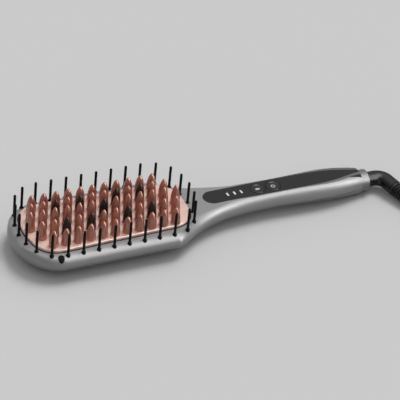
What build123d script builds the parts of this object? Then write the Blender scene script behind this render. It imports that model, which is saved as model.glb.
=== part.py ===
from build123d import *
import os
from math import cos, pi, radians, sin, sqrt, tan

# Heated hair straightening brush lying on its back: bristles up, handle along +X.
# The origin lies under the middle bristle, on the rest face of the head's back.
# All sizes are in millimetres.

# ---- housing ----
head_half_width = 40.0
head_straight_toe = -44.0  # x where the head's straight sides end at the toe
head_straight_heel = 48.0  # x where they end at the neck
toe_reach = 30.5  # from head_straight_toe to the tip
rim_height = 20.9  # rest face to the rim round the bristles
widest_height = 13.3  # height of the head's widest line
rim_shoulder = 7.5  # width of the rounding between the rim and the side
belly_flat_share = 0.3  # share of the half width that is flat underneath
wall = 2.0
parting_height = 9.3  # front and rear halves of the housing meet here

# ---- neck and handle ----
handle_end = 222.7  # x of the housing's end, at the collar
grip_top = 21.5
grip_half_width = 13.8
waist_half_width = 13.0
grip_shoulder = 5.0
collar_radius = 9.2
collar_lift = 0.3  # rest face to the underside of the collar
swivel_height = collar_radius + collar_lift
collar_length = 8.0
end_step = 0.8  # the housing's end stands out this far beside the collar
end_rise = 1.6  # and this far above it
end_wall = 2.5

# ---- line of the guard pins round the plate ----
pins_from_side = 4.8  # the pins stand this far in from the head's sides
pins_from_toe = 5.7  # and this far in from its tip
pin_ring_half_width = head_half_width - pins_from_side
pin_ring_toe = toe_reach - head_straight_toe - pins_from_toe
pin_ring_heel = 71.1  # middle bristle to the pins at the neck end
pin_ring_corner = 24.0
pin_ring_end_radius = 60.0

# ---- heated plate, seal and bristles ----
plate_from_pins = 3.6  # pins' line to the plate's side at its widest
plate_taper = 3.9  # the neck end is narrower by this much on each side
plate_toe = pin_ring_toe - 3.9  # middle bristle to the plate's end at the toe
plate_heel = pin_ring_heel - 2.6  # and to its end at the neck
plate_toe_half_width = pin_ring_half_width - plate_from_pins
plate_heel_half_width = plate_toe_half_width - plate_taper
plate_corner = 19.0
plate_end_radius = 60.0
end_lean = 5.7  # the ends fall back this much from their peak to the corners
plate_top = 23.2
plate_bottom = 18.3
plate_edge_radius = 0.9
seal_width = 0.8
seal_gap = 0.05
seal_top = 21.1
bristle_pitch = 10.0
outer_row_margin = 7.6  # outer rows to the plate's side at its widest
row_pitch = (plate_toe_half_width - outer_row_margin) / 2
middle_row_count = 13
bristle_base_radius = 3.95
bristle_height = 17.1
row_drop = 1.6  # each row further out is this much shorter

# ---- guard pins and their frame ----
pin_count = 30
pin_radius = 1.05
pin_top = 40.3
pin_foot_radius = 1.75
pin_foot_height = 1.0  # domed foot above the rim
pin_foot_web = 0.4  # rim left under the foot
pin_hole_gap = 0.05
pin_stem_bottom = 16.5
frame_half_band = 2.0  # frame beyond the pins' line
frame_flange = 4.0  # frame under the plate's edge
frame_bottom = 15.3

# ---- heater stack under the plate ----
element_count = 4
element_length = 22.0
element_width = 15.0
element_thickness = 2.2
element_pitch = 25.0
electrode_thickness = 0.4
film_thickness = 0.25
film_margin = 1.0
clamp_thickness = 1.2
clamp_width = 22.0
clamp_screw_reach = 54.0
clamp_boss_radius = 3.2
shield_thickness = 1.0
shield_length = 116.0
shield_width = 40.0
shield_bottom = 8.0
shield_post_reach = 40.0  # along the head, from the middle of the pads
shield_post_side = 14.0  # across the head
rest_post_radius = 2.5  # posts that carry the shield and the generator
generator_post_reach = 7.0
fuse_radius = 1.8
fuse_length = 12.0
fuse_reach = 14.0  # past the middle of the pads
sensor_radius = 1.2
sensor_length = 6.0
sensor_reach = 24.0  # before the middle of the pads

# ---- controls ----
panel_start = 84.8
panel_half_width = 8.3
inlay_depth = 1.2
inlay_gap = 0.05
trim_width = 1.3
window_first = 105.8
window_pitch = 5.95
window_count = 3
window_length = 4.0
window_width = 1.5
mode_button_x = 132.0
button_radius = 6.0
button_spacing = 1.7  # between the two buttons
power_button_x = mode_button_x + 2 * button_radius + button_spacing
button_gap = 0.3
button_flange = 0.7
button_flange_thickness = 0.8
button_proud = 0.3
button_dish_depth = 0.7
button_travel = 0.5
board_start = 101.0
board_length = 69.0
board_width = 17.0
board_thickness = 1.6
board_top = 13.0
board_screw_inset = 4.5
board_screw_spacing = 12.0
switch_side = 6.0
switch_height = 3.2
plunger_radius = 1.7
plunger_gap = 0.08
plunger_proud = 0.7

# ---- ion generator ----
ion_outlet_x = -48.3
ion_outlet_inset = 3.7  # in from the head's side
ion_outlet_y = ion_outlet_inset - head_half_width
ion_outlet_radius = 2.5
ion_seat = 15.0  # lower end of the outlet, above the frame's underside
generator_length = 22.0
generator_width = 15.0
generator_height = 8.0
generator_x = 76.0
generator_bottom = 5.4

# ---- swivel, cord and plug ----
running_gap = 0.05
bush_radius = 6.5
bush_length = 18.0
spindle_radius = 4.55
spindle_flange_radius = 5.9
spindle_flange_length = 2.2
spindle_stub_radius = 3.2
spindle_stub_length = 12.0
contact_ring_thickness = 0.8
contact_ring_width = 2.4
contact_ring_pitch = 5.0
elbow_radius = 6.3
elbow_gap = 0.4
elbow_first_leg = 14.5
elbow_second_leg = 16.5
elbow_bend_radius = 9.0
elbow_turn = 75.5  # degrees from the handle's line towards -Y
elbow_drop = 0.085  # the lead falls this much for each millimetre
relief_length = 36.5
relief_base_radius = 6.1
relief_tip_radius = 4.3
relief_rib_count = 10
relief_groove_depth = 0.9
cord_radius = 3.0
cord_run = 11.5
coil_mean_radius = 33.0
coil_turns_wide = 3
coil_turns_high = 3
tie_width = 9.0
tie_thickness = 0.8
tie_sink = 0.05  # the tie is drawn tight, this far above the coil's underside
exit_turn = 16.0  # degrees round the coil to where the plug's lead leaves it
plug_lead_length = 36.0
plug_relief_length = 12.0
plug_body_length = 36.0
plug_body_width = 35.3
plug_body_height = 13.7
plug_pin_radius = 2.0
plug_pin_length = 19.0
plug_pin_spacing = 18.6

# ---- fasteners ----
screw_radius = 1.25
screw_head_radius = 2.5
screw_head_height = 1.8
screw_bite = 3.0
small_screw_radius = 0.9
small_screw_head_radius = 1.7
hole_gap = 0.15
post_wall = 1.3

os.makedirs("parts", exist_ok=True)


def save(piece, name):
    """Labels a finished piece and writes it as its own STEP file."""
    piece.label = name
    export_step(piece, "parts/" + name + ".step")


# ================= housing =================


def toe_stations(inset):
    """Sections of the rounded toe, from its tip to the straight sides."""
    stations = []
    reach = toe_reach - inset
    half_height = widest_height - inset
    shoulder = rim_shoulder - inset
    shoulder_start = toe_reach - rim_shoulder
    for share in (0.995, 0.95, 0.88, 0.77, 0.52, 0.25, 0.0):
        out = reach * share
        round_off = sqrt(1 - share**2)
        past = max(out - shoulder_start, 0) / shoulder
        top = widest_height + (rim_height - widest_height - inset) * sqrt(1 - past**2)
        half_width = head_half_width * round_off
        stations.append(
            (
                head_straight_toe - out,
                half_width - inset * round_off,
                half_width * (1 - rim_shoulder / head_half_width),
                half_width * belly_flat_share,
                top,
                widest_height,
                widest_height - half_height * round_off,
            )
        )
    return stations


def neck_stations(inset, end):
    """Sections from the heel of the head to the end of the handle."""
    length = handle_end - head_straight_heel
    rise = grip_top - rim_height
    collar_top = swivel_height + collar_radius
    collar_bottom = swivel_height - collar_radius
    # share of the length, half width, shoulder, top, widest height, bottom
    outer = (
        (0.00, head_half_width, rim_shoulder, rim_height, widest_height, 0.0),
        (0.06, head_half_width - 5.5, rim_shoulder, rim_height, widest_height, 0.3),
        (0.13, head_half_width - 13.5, rim_shoulder, rim_height, 13.2, 0.8),
        (0.22, grip_half_width + 5.8, grip_shoulder, rim_height + rise / 2, 13.0, 2.2),
        (0.31, grip_half_width + 1.8, grip_shoulder, grip_top, 12.8, 3.8),
        (0.41, grip_half_width, grip_shoulder, grip_top, 12.6, 4.6),
        (0.56, waist_half_width, grip_shoulder - 0.3, grip_top, 12.6, 4.6),
        (0.70, grip_half_width, grip_shoulder, grip_top, 12.2, 3.6),
        (0.84, grip_half_width, grip_shoulder, grip_top - 0.2, 11.4, 2.2),
        (0.93, collar_radius + 3.0, collar_radius - 3.0, grip_top - 0.5, 10.6, 1.0),
        (
            1.00,
            collar_radius + end_step,
            collar_radius - 1.7,
            collar_top + end_rise,
            swivel_height,
            collar_bottom,
        ),
    )
    stations = []
    for share, half_width, shoulder, top, middle, bottom in outer:
        stations.append(
            (
                head_straight_heel + min(length * share, end - head_straight_heel),
                half_width - inset,
                half_width - shoulder,
                half_width * belly_flat_share,
                top - inset,
                middle,
                bottom + inset,
            )
        )
    return stations


def section_wire(station):
    """Draws one closed section of the housing, flat on top and underneath."""
    _, half_width, top_flat, belly_flat, top, middle, bottom = station
    Line((-top_flat, top), (top_flat, top))
    EllipticalCenterArc((top_flat, middle), half_width - top_flat, top - middle, 0)
    EllipticalCenterArc((belly_flat, middle), half_width - belly_flat, middle - bottom, 270)
    Line((-belly_flat, bottom), (belly_flat, bottom))
    EllipticalCenterArc((-belly_flat, middle), half_width - belly_flat, middle - bottom, 180)
    EllipticalCenterArc((-top_flat, middle), half_width - top_flat, top - middle, 90)


def lofted(stations):
    """A smooth solid through sections of the housing."""
    with BuildPart() as block:
        for station in stations:
            with BuildSketch(Plane.YZ.offset(station[0])):
                with BuildLine():
                    section_wire(station)
                make_face()
        loft()
    return block.part


def body_block(inset, end=handle_end):
    """The whole outline of the housing, drawn in by inset on every side."""
    with BuildPart() as block:
        add(lofted(toe_stations(inset)))
        with BuildSketch(Plane.YZ.offset(head_straight_toe)):
            with BuildLine():
                section_wire(toe_stations(inset)[-1])
            make_face()
        extrude(amount=head_straight_heel - head_straight_toe)
        add(lofted(neck_stations(inset, end)))
    return block.part


outer_block = body_block(0.0)
inner_block = body_block(wall, handle_end - end_wall)
inlay_floor_block = body_block(inlay_depth)


def egg_outline(toe, heel, toe_half_width, heel_half_width, corner, end_radius):
    """A long outline with straight sides and slightly bowed ends."""
    heel_bow = end_radius * (sqrt(1 + (end_lean / heel_half_width) ** 2) - 1)
    toe_bow = end_radius * (sqrt(1 + (end_lean / toe_half_width) ** 2) - 1)
    heel_peak = heel + heel_bow
    toe_peak = -toe - toe_bow
    FilletPolyline(
        (heel_peak, 0),
        (heel_peak - end_lean, heel_half_width),
        (toe_peak + end_lean, toe_half_width),
        (toe_peak, 0),
        (toe_peak + end_lean, -toe_half_width),
        (heel_peak - end_lean, -heel_half_width),
        radius=[end_radius, corner, corner, end_radius, corner, corner],
        close=True,
    )


def plate_prism(grow, bottom, top):
    """The heated plate's outline, grown on all sides, between two heights."""
    with BuildPart() as prism:
        with BuildSketch(Plane.XY.offset(bottom)):
            with BuildLine():
                egg_outline(
                    plate_toe,
                    plate_heel,
                    plate_toe_half_width,
                    plate_heel_half_width,
                    plate_corner,
                    plate_end_radius,
                )
            make_face()
            if grow:
                offset(amount=grow)
        extrude(amount=top - bottom)
    return prism.part


def frame_prism(bottom, top):
    """The outline of the frame that carries the guard pins."""
    with BuildPart() as prism:
        with BuildSketch(Plane.XY.offset(bottom)):
            with BuildLine():
                egg_outline(
                    pin_ring_toe,
                    pin_ring_heel,
                    pin_ring_half_width,
                    pin_ring_half_width,
                    pin_ring_corner,
                    pin_ring_end_radius,
                )
            make_face()
            offset(amount=frame_half_band)
        extrude(amount=top - bottom)
    return prism.part


def plate_side(x):
    """Half width of the plate at x, along its straight sides."""
    share = (x + plate_toe) / (plate_toe + plate_heel)
    return plate_toe_half_width + share * (plate_heel_half_width - plate_toe_half_width)


def rod(x, y, bottom, top, radius):
    """An upright round bar."""
    with BuildPart() as bar:
        with BuildSketch(Plane.XY.offset(bottom)):
            with Locations((x, y)):
                Circle(radius)
        extrude(amount=top - bottom)
    return bar.part


def slab(x, y, bottom, length, width, height):
    """A plain rectangular block, centred on x and y."""
    with BuildPart() as block:
        with BuildSketch(Plane.XY.offset(bottom)):
            with Locations((x, y)):
                Rectangle(length, width)
        extrude(amount=height)
    return block.part


# places of the guard pins, evenly spaced round the plate from the neck end
with BuildLine() as pin_line:
    egg_outline(
        pin_ring_toe,
        pin_ring_heel,
        pin_ring_half_width,
        pin_ring_half_width,
        pin_ring_corner,
        pin_ring_end_radius,
    )
pin_wire = pin_line.wires()[0]
pin_start = pin_wire.param_at_point(Vector(pin_ring_heel, 0, 0))
pin_places = []
for number in range(pin_count):
    place = pin_wire.position_at((pin_start + number / pin_count) % 1.0)
    pin_places.append((place.X, place.Y))

# places of the screws
pad_centre = (plate_heel - plate_toe) / 2
case_screw_places = []
for number in (5, 9):
    gap_x = (pin_places[number][0] + pin_places[number + 1][0]) / 2
    for side in (-1, 1):
        case_screw_places.append((gap_x, side * (pin_ring_half_width - 2.6)))
neck_screw_x = board_start - 6.0
tail_screw_x = board_start + board_length + 14.0
plate_screw_places = []
for plate_screw_x in (-38.0, 42.0):
    for side in (-1, 1):
        inset_side = plate_side(plate_screw_x) - frame_flange / 2
        plate_screw_places.append((plate_screw_x, side * inset_side))
clamp_screw_places = [
    (pad_centre - clamp_screw_reach, 0),
    (pad_centre + clamp_screw_reach, 0),
]
board_screw_places = []
board_end = board_start + board_length
for board_screw_x in (board_start + board_screw_inset, board_end - board_screw_inset):
    for side in (-1, 1):
        board_screw_places.append((board_screw_x, side * board_screw_spacing / 2))
window_places = [window_first + number * window_pitch for number in range(window_count)]
button_places = [mode_button_x, power_button_x]
grip_ceiling = grip_top - wall
case_seat = 8.0  # height of the seats of the head's case screws
grip_seat = 6.6  # height of the seats of the handle's case screws
post_radius = screw_head_radius + hole_gap + post_wall


# ================= inlay shapes in the top of the handle =================


def inlay_prism(edge, start, clearance):
    """Upright block over a tapering inlay; edge gives its half width along X."""
    low = parting_height + 3.0
    with BuildPart() as prism:
        with BuildSketch(Plane.XY.offset(low)):
            with BuildLine():
                side = Spline([(x, y + clearance) for x, y in edge])
                mirrored = Spline([(x, -y - clearance) for x, y in edge])
                Line(side @ 1, mirrored @ 1)
                if start == "round":
                    ThreePointArc(side @ 0, (edge[0][0] - edge[0][1] - clearance, 0), mirrored @ 0)
                else:
                    Line(side @ 0, mirrored @ 0)
            make_face()
        extrude(amount=grip_top)
    return prism.part


panel_edge = [
    (panel_start + panel_half_width, panel_half_width),
    (board_start + 20.0, panel_half_width),
    (handle_end - 46.0, panel_half_width),
    (handle_end - 22.0, panel_half_width - 2.0),
    (handle_end - 10.0, panel_half_width - 4.8),
    (handle_end, 1.6),
]
trim_edge = [
    (panel_start + 30.0, panel_half_width),
    (panel_start + 45.0, panel_half_width + 0.6 * trim_width),
    (handle_end - 46.0, panel_half_width + trim_width),
    (handle_end - 22.0, panel_half_width + 0.8 * trim_width),
    (handle_end - 10.0, panel_half_width - 1.9),
    (handle_end, panel_half_width - 4.0),
]
wedge_edge = [
    (handle_end - 13.0, panel_half_width - 1.3),
    (handle_end, panel_half_width - 1.4),
]

panel_shape = inlay_prism(panel_edge, "round", 0.0)
panel_space = inlay_prism(panel_edge, "round", inlay_gap)
trim_shape = inlay_prism(trim_edge, "square", 0.0)
trim_space = inlay_prism(trim_edge, "square", inlay_gap)
wedge_shape = inlay_prism(wedge_edge, "square", 0.0)
wedge_space = inlay_prism(wedge_edge, "square", inlay_gap)

with BuildPart() as inlay_skin:
    add(outer_block)
    add(inlay_floor_block, mode=Mode.SUBTRACT)

with BuildPart() as inlay_pocket:
    add(panel_space)
    add(trim_space)
    add(wedge_space)
    add(body_block(inlay_depth + inlay_gap), mode=Mode.SUBTRACT)

# holes through the top of the handle for the windows and the buttons
window_hole_width = window_width + 2 * inlay_gap
window_hole_length = window_length + 2 * inlay_gap
with BuildPart() as control_holes:
    for x in window_places:
        add(slab(x, 0, parting_height, window_hole_width, window_hole_length, grip_top))
    for x in button_places:
        add(rod(x, 0, parting_height, grip_top * 2, button_radius + button_gap))

with BuildPart() as control_panel:
    add(inlay_skin.part)
    add(panel_shape, mode=Mode.INTERSECT)
    add(control_holes.part, mode=Mode.SUBTRACT)
save(control_panel.part, "control_panel")

with BuildPart() as trim_strips:
    add(inlay_skin.part)
    add(trim_shape, mode=Mode.INTERSECT)
    add(panel_space, mode=Mode.SUBTRACT)
save(trim_strips.part, "trim_strips")

with BuildPart() as tail_wedges:
    add(inlay_skin.part)
    add(wedge_shape, mode=Mode.INTERSECT)
    add(panel_space, mode=Mode.SUBTRACT)
    add(trim_space, mode=Mode.SUBTRACT)
save(tail_wedges.part, "tail_wedges")


# ================= housing halves =================

with BuildPart() as pin_holes:
    for x, y in pin_places:
        add(rod(x, y, parting_height, rim_height + 2, pin_radius + pin_hole_gap))
        foot_floor = rim_height - wall + pin_foot_web
        add(rod(x, y, foot_floor, rim_height + 2, pin_foot_radius + pin_hole_gap))

with BuildPart() as front_bosses:
    for x in (neck_screw_x, tail_screw_x):
        add(rod(x, 0, parting_height, grip_top, post_radius - 0.6))
    for x, y in board_screw_places:
        add(rod(x, y, board_top, grip_top, small_screw_radius + post_wall))
    add(inlay_floor_block, mode=Mode.INTERSECT)
    add(inlay_pocket.part, mode=Mode.SUBTRACT)

with BuildPart() as front_shell:
    add(outer_block)
    add(inner_block, mode=Mode.SUBTRACT)
    split(bisect_by=Plane.XY.offset(parting_height), keep=Keep.TOP)
    add(front_bosses.part)
    add(plate_prism(seal_gap + seal_width + seal_gap, parting_height, plate_top), mode=Mode.SUBTRACT)
    add(pin_holes.part, mode=Mode.SUBTRACT)
    add(inlay_pocket.part, mode=Mode.SUBTRACT)
    add(control_holes.part, mode=Mode.SUBTRACT)
    add(
        rod(ion_outlet_x, ion_outlet_y, ion_seat, grip_top, ion_outlet_radius + pin_hole_gap),
        mode=Mode.SUBTRACT,
    )
    for x in (neck_screw_x, tail_screw_x):
        add(rod(x, 0, parting_height, parting_height + 6.0, screw_radius), mode=Mode.SUBTRACT)
    for x, y in board_screw_places:
        add(rod(x, y, board_top, board_top + 4.0, small_screw_radius), mode=Mode.SUBTRACT)
    with BuildSketch(Plane.YZ.offset(handle_end - end_wall)):
        with Locations((0, swivel_height)):
            Circle(bush_radius + inlay_gap)
    extrude(amount=2 * end_wall, mode=Mode.SUBTRACT)
save(front_shell.part, "front_shell")

with BuildPart() as rear_posts:
    for x, y in case_screw_places:
        add(rod(x, y, 0, parting_height, post_radius))
        add(rod(x, y, 0, frame_bottom, screw_radius + hole_gap + post_wall))
    for x in (neck_screw_x, tail_screw_x):
        add(rod(x, 0, 0, parting_height, post_radius))
    for x in (pad_centre - shield_post_reach, pad_centre + shield_post_reach):
        for side in (-1, 1):
            add(rod(x, side * shield_post_side, 0, shield_bottom, rest_post_radius))
    for x in (generator_x - generator_post_reach, generator_x + generator_post_reach):
        add(rod(x, 0, 0, generator_bottom, rest_post_radius))
    add(inlay_floor_block, mode=Mode.INTERSECT)

with BuildPart() as rear_shell:
    add(outer_block)
    add(inner_block, mode=Mode.SUBTRACT)
    split(bisect_by=Plane.XY.offset(parting_height), keep=Keep.BOTTOM)
    add(rear_posts.part)
    for x, y in case_screw_places:
        add(rod(x, y, -1, frame_bottom + 1, screw_radius + hole_gap), mode=Mode.SUBTRACT)
        add(rod(x, y, -1, case_seat, screw_head_radius + hole_gap), mode=Mode.SUBTRACT)
    for x in (neck_screw_x, tail_screw_x):
        add(rod(x, 0, -1, parting_height + 1, screw_radius + hole_gap), mode=Mode.SUBTRACT)
        add(rod(x, 0, -1, grip_seat, screw_head_radius + hole_gap), mode=Mode.SUBTRACT)
    with BuildSketch(Plane.YZ.offset(handle_end - end_wall)):
        with Locations((0, swivel_height)):
            Circle(bush_radius + inlay_gap)
    extrude(amount=2 * end_wall, mode=Mode.SUBTRACT)
save(rear_shell.part, "rear_shell")


# ================= frame, guard pins, plate, seal =================

emitter_y = ion_outlet_y + 1.1
emitter_passage_radius = 1.2

with BuildPart() as pin_frame:
    add(frame_prism(frame_bottom, rim_height - wall))
    add(body_block(wall + hole_gap), mode=Mode.INTERSECT)
    add(plate_prism(seal_gap + seal_width + seal_gap, plate_bottom, plate_top), mode=Mode.SUBTRACT)
    add(plate_prism(-frame_flange, frame_bottom - 1, plate_top), mode=Mode.SUBTRACT)
    for x, y in pin_places:
        add(rod(x, y, pin_stem_bottom, plate_top, pin_radius + pin_hole_gap), mode=Mode.SUBTRACT)
    for x, y in case_screw_places:
        add(rod(x, y, frame_bottom - 1, frame_bottom + screw_bite, screw_radius), mode=Mode.SUBTRACT)
    for x, y in plate_screw_places:
        add(rod(x, y, frame_bottom - 1, plate_top, screw_radius + hole_gap), mode=Mode.SUBTRACT)
    add(
        rod(ion_outlet_x, emitter_y, frame_bottom - 1, plate_top, emitter_passage_radius),
        mode=Mode.SUBTRACT,
    )
save(pin_frame.part, "pin_frame")


def guard_pins(places):
    """Thin round-tipped pins with a foot let into the rim and a stem in the frame."""
    foot_bottom = rim_height - wall + pin_foot_web
    foot_side_top = rim_height - 0.1
    foot_top = rim_height + pin_foot_height
    foot_ledge = pin_foot_radius - pin_radius
    foot_shoulder = (pin_radius + 0.75 * foot_ledge, foot_side_top + 0.7 * (foot_top - foot_side_top))
    with BuildPart() as pins:
        with BuildSketch(Plane.XZ):
            with BuildLine():
                Line((0, pin_stem_bottom), (pin_radius, pin_stem_bottom))
                Line((pin_radius, pin_stem_bottom), (pin_radius, foot_bottom))
                Line((pin_radius, foot_bottom), (pin_foot_radius, foot_bottom))
                Line((pin_foot_radius, foot_bottom), (pin_foot_radius, foot_side_top))
                ThreePointArc((pin_foot_radius, foot_side_top), foot_shoulder, (pin_radius, foot_top))
                Line((pin_radius, foot_top), (pin_radius, pin_top - pin_radius))
                CenterArc((0, pin_top - pin_radius), pin_radius, 0, 90)
                Line((0, pin_top), (0, pin_stem_bottom))
            make_face()
        revolve(axis=Axis.Z)
    with BuildPart() as row:
        with Locations([(x, y, 0) for x, y in places]):
            add(pins.part)
    return row.part


end_pin_reach = pin_ring_half_width - 2 * pin_foot_radius
save(guard_pins([p for p in pin_places if p[1] > end_pin_reach]), "guard_pins_left")
save(guard_pins([p for p in pin_places if p[1] < -end_pin_reach]), "guard_pins_right")
save(guard_pins([p for p in pin_places if abs(p[1]) < end_pin_reach and p[0] < 0]), "guard_pins_toe")
save(guard_pins([p for p in pin_places if abs(p[1]) < end_pin_reach and p[0] > 0]), "guard_pins_heel")

clamp_bottom = (
    plate_bottom - 2 * film_thickness - 2 * electrode_thickness - element_thickness - clamp_thickness
)
clamp_top = clamp_bottom + clamp_thickness

with BuildPart() as heated_plate:
    add(plate_prism(0, plate_bottom, plate_top))
    fillet(heated_plate.edges().group_by(Axis.Z)[-1], radius=plate_edge_radius)
    for x, y in clamp_screw_places:
        add(rod(x, y, clamp_top, plate_bottom + 1, clamp_boss_radius))
    for x, y in plate_screw_places:
        add(rod(x, y, plate_bottom - 1, plate_bottom + screw_bite, screw_radius), mode=Mode.SUBTRACT)
    for x, y in clamp_screw_places:
        add(rod(x, y, clamp_top - 1, clamp_top + screw_bite, screw_radius), mode=Mode.SUBTRACT)
save(heated_plate.part, "heated_plate")

with BuildPart() as plate_seal:
    add(plate_prism(seal_gap + seal_width, plate_bottom, seal_top))
    add(plate_prism(seal_gap, plate_bottom - 1, plate_top), mode=Mode.SUBTRACT)
save(plate_seal.part, "plate_seal")


def bristles(places, height):
    """Pointed bristles standing on the plate, all of one height."""
    with BuildPart() as one:
        with BuildSketch(Plane.XZ):
            with BuildLine():
                Line((0, plate_top), (bristle_base_radius, plate_top))
                flank = Spline(
                    (bristle_base_radius, plate_top),
                    (bristle_base_radius * 0.92, plate_top + height * 0.42),
                    (bristle_base_radius * 0.55, plate_top + height * 0.80),
                    (0, plate_top + height),
                    tangents=((0, 1), (-1, 0)),
                    tangent_scalars=(1.0, 0.35),
                )
                Line(flank @ 1, (0, plate_top))
            make_face()
        revolve(axis=Axis.Z)
    with BuildPart() as row:
        with Locations([(x, y, 0) for x, y in places]):
            add(one.part)
    return row.part


def row_places(row):
    """Places of one row's bristles; each row holds a bristle fewer or is staggered."""
    count = middle_row_count - abs(row)
    first = -(count - 1) / 2 * bristle_pitch
    return [(first + number * bristle_pitch, row * row_pitch) for number in range(count)]


def is_dark(place):
    """The dark bristles stand in a regular pattern round the middle one."""
    x = abs(place[0])
    y = abs(place[1])
    if y < 1:
        return x < 1
    in_row = abs(y - row_pitch) < 1
    near_middle = abs(x - 1.5 * bristle_pitch) < 1
    further_out = abs(x - 3.5 * bristle_pitch) < 1
    return in_row and (near_middle or further_out)


row_names = {-2: "right_outer", -1: "right_inner", 0: "middle", 1: "left_inner", 2: "left_outer"}
for row, row_name in row_names.items():
    height = bristle_height - abs(row) * row_drop
    places = row_places(row)
    save(bristles([p for p in places if not is_dark(p)], height), "heated_bristles_" + row_name)
    dark_places = [p for p in places if is_dark(p)]
    if dark_places:
        save(bristles(dark_places, height), "dark_bristles_" + row_name)


# ================= heater under the plate =================

element_places = []
for number in range(element_count):
    element_places.append(pad_centre + (number - (element_count - 1) / 2) * element_pitch)
stack_length = (element_count - 1) * element_pitch + element_length
film_length = stack_length + 2 * film_margin
film_width = element_width + 2 * film_margin
upper_film_bottom = plate_bottom - film_thickness
upper_electrode_bottom = upper_film_bottom - electrode_thickness
element_bottom = upper_electrode_bottom - element_thickness
lower_electrode_bottom = element_bottom - electrode_thickness

with BuildPart() as insulating_films:
    add(slab(pad_centre, 0, upper_film_bottom, film_length, film_width, film_thickness))
    add(slab(pad_centre, 0, clamp_top, film_length, film_width, film_thickness))
save(insulating_films.part, "insulating_films")

with BuildPart() as electrode_strips:
    add(slab(pad_centre, 0, upper_electrode_bottom, stack_length, element_width, electrode_thickness))
    add(slab(pad_centre, 0, lower_electrode_bottom, stack_length, element_width, electrode_thickness))
save(electrode_strips.part, "electrode_strips")

with BuildPart() as heating_elements:
    for x in element_places:
        add(slab(x, 0, element_bottom, element_length, element_width, element_thickness))
save(heating_elements.part, "heating_elements")

with BuildPart() as heater_clamp:
    clamp_length = 2 * clamp_screw_reach + 2 * clamp_boss_radius
    add(slab(pad_centre, 0, clamp_bottom, clamp_length, clamp_width, clamp_thickness))
    fillet(heater_clamp.edges().filter_by(Axis.Z), radius=clamp_boss_radius)
    for x, y in clamp_screw_places:
        add(rod(x, y, clamp_bottom - 1, clamp_top + 1, screw_radius + hole_gap), mode=Mode.SUBTRACT)
save(heater_clamp.part, "heater_clamp")

with BuildPart() as thermal_fuse:
    with BuildSketch(Plane.YZ.offset(pad_centre + fuse_reach)):
        with Locations((0, clamp_bottom - fuse_radius)):
            Circle(fuse_radius)
    extrude(amount=fuse_length)
save(thermal_fuse.part, "thermal_fuse")

with BuildPart() as temperature_sensor:
    with BuildSketch(Plane.YZ.offset(pad_centre - sensor_reach)):
        with Locations((0, clamp_bottom - sensor_radius)):
            Circle(sensor_radius)
    extrude(amount=sensor_length)
save(temperature_sensor.part, "temperature_sensor")

with BuildPart() as heat_shield:
    add(slab(pad_centre, 0, shield_bottom, shield_length, shield_width, shield_thickness))
    fillet(heat_shield.edges().filter_by(Axis.Z), radius=4.0)
save(heat_shield.part, "heat_shield")


def screws(places, seat, grip, radius, head_radius, head_height):
    """Pan-head screws pointing up; the head's top face lies at the seat."""
    with BuildPart() as one:
        with BuildSketch(Plane.XY.offset(seat - head_height)):
            Circle(head_radius)
        extrude(amount=head_height)
        fillet(one.edges().group_by(Axis.Z)[0], radius=head_height / 3)
        with BuildSketch(Plane.XY.offset(seat)):
            Circle(radius)
        extrude(amount=grip)
        with BuildSketch(Plane.XY.offset(seat - head_height)):
            Rectangle(head_radius * 1.1, head_radius / 4)
            Rectangle(head_radius / 4, head_radius * 1.1)
        extrude(amount=head_height / 2, mode=Mode.SUBTRACT)
    with BuildPart() as group:
        with Locations([(x, y, 0) for x, y in places]):
            add(one.part)
    return group.part


thread_gap = 0.02
thread_radius = screw_radius - thread_gap
case_grip = frame_bottom + screw_bite - case_seat
save(
    screws(case_screw_places, case_seat, case_grip, thread_radius, screw_head_radius, screw_head_height),
    "head_screws",
)
save(
    screws(
        [(neck_screw_x, 0), (tail_screw_x, 0)],
        grip_seat,
        parting_height + 5.0 - grip_seat,
        thread_radius,
        screw_head_radius,
        screw_head_height,
    ),
    "handle_screws",
)
plate_grip = plate_bottom + screw_bite - frame_bottom - 0.4
save(
    screws(plate_screw_places, frame_bottom, plate_grip, thread_radius, screw_head_radius, screw_head_height),
    "plate_screws",
)
save(
    screws(
        clamp_screw_places,
        clamp_bottom,
        clamp_thickness + screw_bite - 0.4,
        screw_radius - thread_gap,
        screw_head_radius,
        screw_head_height,
    ),
    "clamp_screws",
)

# ================= ion generator =================

with BuildPart() as ion_grille:
    add(rod(ion_outlet_x, ion_outlet_y, ion_seat, grip_top, ion_outlet_radius))
    add(outer_block, mode=Mode.INTERSECT)
    add(inner_block, mode=Mode.SUBTRACT)
    for number in (-1, 0, 1):
        slot_x = ion_outlet_x + number * ion_outlet_radius / 2
        slot_length = 1.2 * ion_outlet_radius
        add(
            slab(slot_x, ion_outlet_y, ion_seat - 1, ion_outlet_radius / 5, slot_length, grip_top),
            mode=Mode.SUBTRACT,
        )
save(ion_grille.part, "ion_grille")

emitter_radius = 1.9
emitter_height = 2.0
needle_radius = 0.4
needle_height = 1.9
emitter_bottom = frame_bottom - emitter_height
with BuildPart() as ion_emitter:
    add(rod(ion_outlet_x, emitter_y, emitter_bottom, frame_bottom, emitter_radius))
    add(rod(ion_outlet_x, emitter_y, frame_bottom, frame_bottom + needle_height, needle_radius))
save(ion_emitter.part, "ion_emitter")

with BuildPart() as ion_generator:
    add(slab(generator_x, 0, generator_bottom, generator_length, generator_width, generator_height))
    fillet(ion_generator.edges().filter_by(Axis.Z), radius=2.0)
save(ion_generator.part, "ion_generator")


# ================= controls in the handle =================

switch_top = board_top + switch_height
plunger_top = switch_top + plunger_proud
flange_top = grip_ceiling - button_gap
flange_bottom = flange_top - button_flange_thickness

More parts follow.
